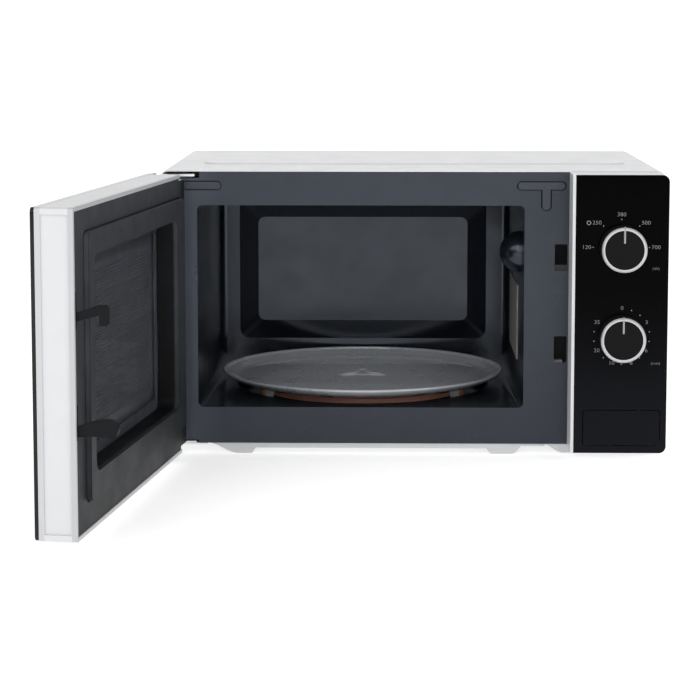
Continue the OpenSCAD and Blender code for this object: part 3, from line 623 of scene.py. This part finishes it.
def pressed_bead(name, bars):
    """The soft flanks of a bead, laid over the straight-sided bead of the frame's own node.

    Its flanks run from "reach" outside the bars to "inside" them, on a grid of points "step" apart.
    """
    height = 1.25
    reach = 1.4
    inside = 0.3
    step = 0.4
    corner = 3.0
    own_height = 0.9
    sunk = 0.1
    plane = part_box("front_frame")[0].y / MM + own_height + sunk

    def rise(x, z):
        nearest = reach
        for x0, z0, x1, z1 in bars:
            dx = max(x0 + corner - x, x - x1 + corner, 0)
            dz = max(z0 + corner - z, z - z1 + corner, 0)
            nearest = min(nearest, math.hypot(dx, dz) - corner)
        t = min(1, max(0, (reach - nearest) / (reach + inside)))
        return height * t * t * (3 - 2 * t)

    left = min(bar[0] for bar in bars) - reach
    foot = min(bar[1] for bar in bars) - reach
    across = int((max(bar[2] for bar in bars) + reach - left) / step) + 2
    upward = int((max(bar[3] for bar in bars) + reach - foot) / step) + 2
    bm = bmesh.new()
    rows = []
    for i in range(across):
        x = left + i * step
        column = [(foot + k * step, rise(x, foot + k * step)) for k in range(upward)]
        rows.append([(bm.verts.new((x * MM, (plane - h) * MM, z * MM)), h) for z, h in column])
    for a, b in zip(rows, rows[1:]):
        for k in range(upward - 1):
            square = (a[k], b[k], b[k + 1], a[k + 1])
            if any(h > 0 for _, h in square):
                bm.faces.new([v for v, _ in square])
    loose = [v for v in bm.verts if not v.link_faces]
    bmesh.ops.delete(bm, geom=loose, context="VERTS")
    # Painted shade: the bead is darker than the frame, with nearly black flanks.
    look = finished(name + "_enamel", (0.042, 0.047, 0.059), 0.24, 0.04, 0.004, 700, specular=0.28)
    top = plane - height
    painted_flank_shade = [(top, 1.0), (top + 0.08, 0.9), (top + 0.25, 0.1), (plane - 0.15, 0.15),
                  (plane, 0.9)]
    shade(look, DEPTH, painted_flank_shade)
    piece(name, bm, "body", "grey_enamel", look, angle=80)


def around(angle, r, cx, cz):
    """The point at a distance from a middle, at degrees clockwise from the top."""
    t = math.radians(angle)
    return cx + r * math.sin(t), cz + r * math.cos(t)


def scales():
    """The print round both dials, whose middles are a little off the middles of the rings."""
    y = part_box("panel_fascia")[0].y - PRINT_GAP
    dot = 0.55 * MM
    text = 4.8 * MM
    unit = 3.4 * MM
    dot_r = 24.1 * MM
    figure_r = 24.6 * MM
    power_shift = (-1.2 * MM, 0.8 * MM)
    timer_shift = (0.1 * MM, 1.1 * MM)
    watts_sign = (30 * MM, -18.5 * MM)
    minutes_sign = (29.5 * MM, -23.3 * MM)
    defrost_ring = (-28 * MM, 21.1 * MM)
    ring_inner = 1.3 * MM
    ring_outer = 1.9 * MM

    low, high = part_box("power_knob_ring")
    cx = (low.x + high.x) / 2 + power_shift[0]
    cz = (low.z + high.z) / 2 + power_shift[1]
    bm = bmesh.new()
    for dot_angle, angle, distance, figure in POWER_MARKS:
        add_dot(bm, *around(dot_angle, dot_r, cx, cz), y, dot)
        add_figure(bm, figure, *around(angle, distance * MM, cx, cz), y, text)
    add_figure(bm, "(W)", cx + watts_sign[0], cz + watts_sign[1], y, unit)
    add_ring(bm, cx + defrost_ring[0], cz + defrost_ring[1], y, ring_inner, ring_outer)
    piece("power_scale_print", bm, "body", "roller_white", PRINT)

    low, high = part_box("timer_knob_ring")
    cx = (low.x + high.x) / 2 + timer_shift[0]
    cz = (low.z + high.z) / 2 + timer_shift[1]
    bm = bmesh.new()
    for angle, figure in TIMER_MARKS:
        if figure:
            add_figure(bm, figure, *around(angle, figure_r, cx, cz), y, text)
        else:
            add_dot(bm, *around(angle, dot_r, cx, cz), y, dot)
    add_figure(bm, "(min)", cx + minutes_sign[0], cz + minutes_sign[1], y, unit)
    piece("timer_scale_print", bm, "body", "roller_white", PRINT)


perforated_screen()
glass_tray()
dial("power", "power_dial")
dial("timer", "timer_dial")
for bead, bars in BEADS.items():
    pressed_bead(bead, bars)
scales()


# ---------------------------------------------------------------- stage, light and camera

def stage():
    """A pale floor that sweeps up into a backdrop, far enough back for a view from behind."""
    half = 5.0
    front = -4.2
    back = 3.2
    sweep = 0.8
    top = 4.0
    bm = bmesh.new()
    profile = [(front, 0.0), (back, 0.0)]
    profile += [(back + sweep * math.sin(t), sweep - sweep * math.cos(t))
                for t in (math.pi / 2 * i / 12 for i in range(1, 13))]
    profile.append((back + sweep, top))
    rows = [[bm.verts.new((x, y, z)) for x in (-half, half)] for y, z in profile]
    for a, b in zip(rows, rows[1:]):
        bm.faces.new((a[0], a[1], b[1], b[0]))
    mesh = bpy.data.meshes.new("stage")
    bm.to_mesh(mesh)
    bm.free()
    mesh.polygons.foreach_set("use_smooth", [True] * len(mesh.polygons))
    floor = bpy.data.objects.new("stage", mesh)
    scene.collection.objects.link(floor)
    white = finished("stage_white", (0.93, 0.93, 0.93), 0.9, 0.004, 0.002, 300)
    glow = white.node_tree.nodes["Principled BSDF"].inputs
    glow["Emission Color"].default_value = (1, 1, 1, 1)
    glow["Emission Strength"].default_value = 0.47
    paint(floor, white)


def softbox(name, place, aim, size, power, spread=180):
    """A rectangular light that the camera doesn't see."""
    light = bpy.data.lights.new(name, "AREA")
    light.shape = "RECTANGLE"
    light.size, light.size_y = size
    light.energy = power
    light.spread = math.radians(spread)
    obj = bpy.data.objects.new(name, light)
    scene.collection.objects.link(obj)
    obj.location = place
    obj.rotation_euler = (Vector(aim) - Vector(place)).to_track_quat("-Z", "Y").to_euler()
    obj.visible_camera = False
    return obj


def camera():
    """The photo's viewpoint, fitted to the cabinet's and the cavity's edges."""
    data = bpy.data.cameras.new("camera")
    data.sensor_width = 36.0
    data.lens = 112.6
    data.shift_y = -0.12
    data.clip_start = 0.05
    data.clip_end = 30
    obj = bpy.data.objects.new("camera", data)
    scene.collection.objects.link(obj)
    pitch, yaw = math.radians(6.44), math.radians(1.09)
    obj.location = (-0.0179, -2.0531, 0.3826)
    obj.rotation_euler = (math.pi / 2 - pitch, 0, yaw)
    scene.camera = obj


# Each light's name, place, aim, width and height in metres, and power in watts.
LIGHTS = [
    ("key", (-1.45, -1.85, 1.6), (0, 0, 0.1), (2.0, 1.6), 16.5),
    ("fill", (1.8, -1.6, 1.2), (0, 0, 0.1), (1.6, 1.6), 14),
    ("front_low", (0.0, -3.0, 0.75), (-0.05, 0, 0.1), (2.4, 1.0), 11),
    ("front_high", (0.0, -2.5, 1.5), (-0.05, 0, 0.1), (2.2, 0.9), 9),
    ("top", (0.0, 0.6, 2.6), (0, 0.2, 0.1), (3.0, 2.0), 12),
]

stage()
for light in LIGHTS:
    softbox(*light)
# A weak light under the cavity's ceiling, which the tray needs and the enamel doesn't mirror.
tray_x, tray_y = joint["turntable_spin"]["pos_m"][:2]
glow = softbox("cavity_glow", (tray_x, tray_y + 0.03, 0.212), (tray_x, tray_y + 0.02, 0.05),
               (0.16, 0.14), 0.03, spread=100)
glow.visible_glossy = False
world = bpy.data.worlds.new("studio")
world.use_nodes = True
sky = world.node_tree.nodes["Background"].inputs
sky["Color"].default_value = (1, 1, 1, 1)
sky["Strength"].default_value = 0.40
scene.world = world
scene.view_settings.view_transform = "Standard"
camera()
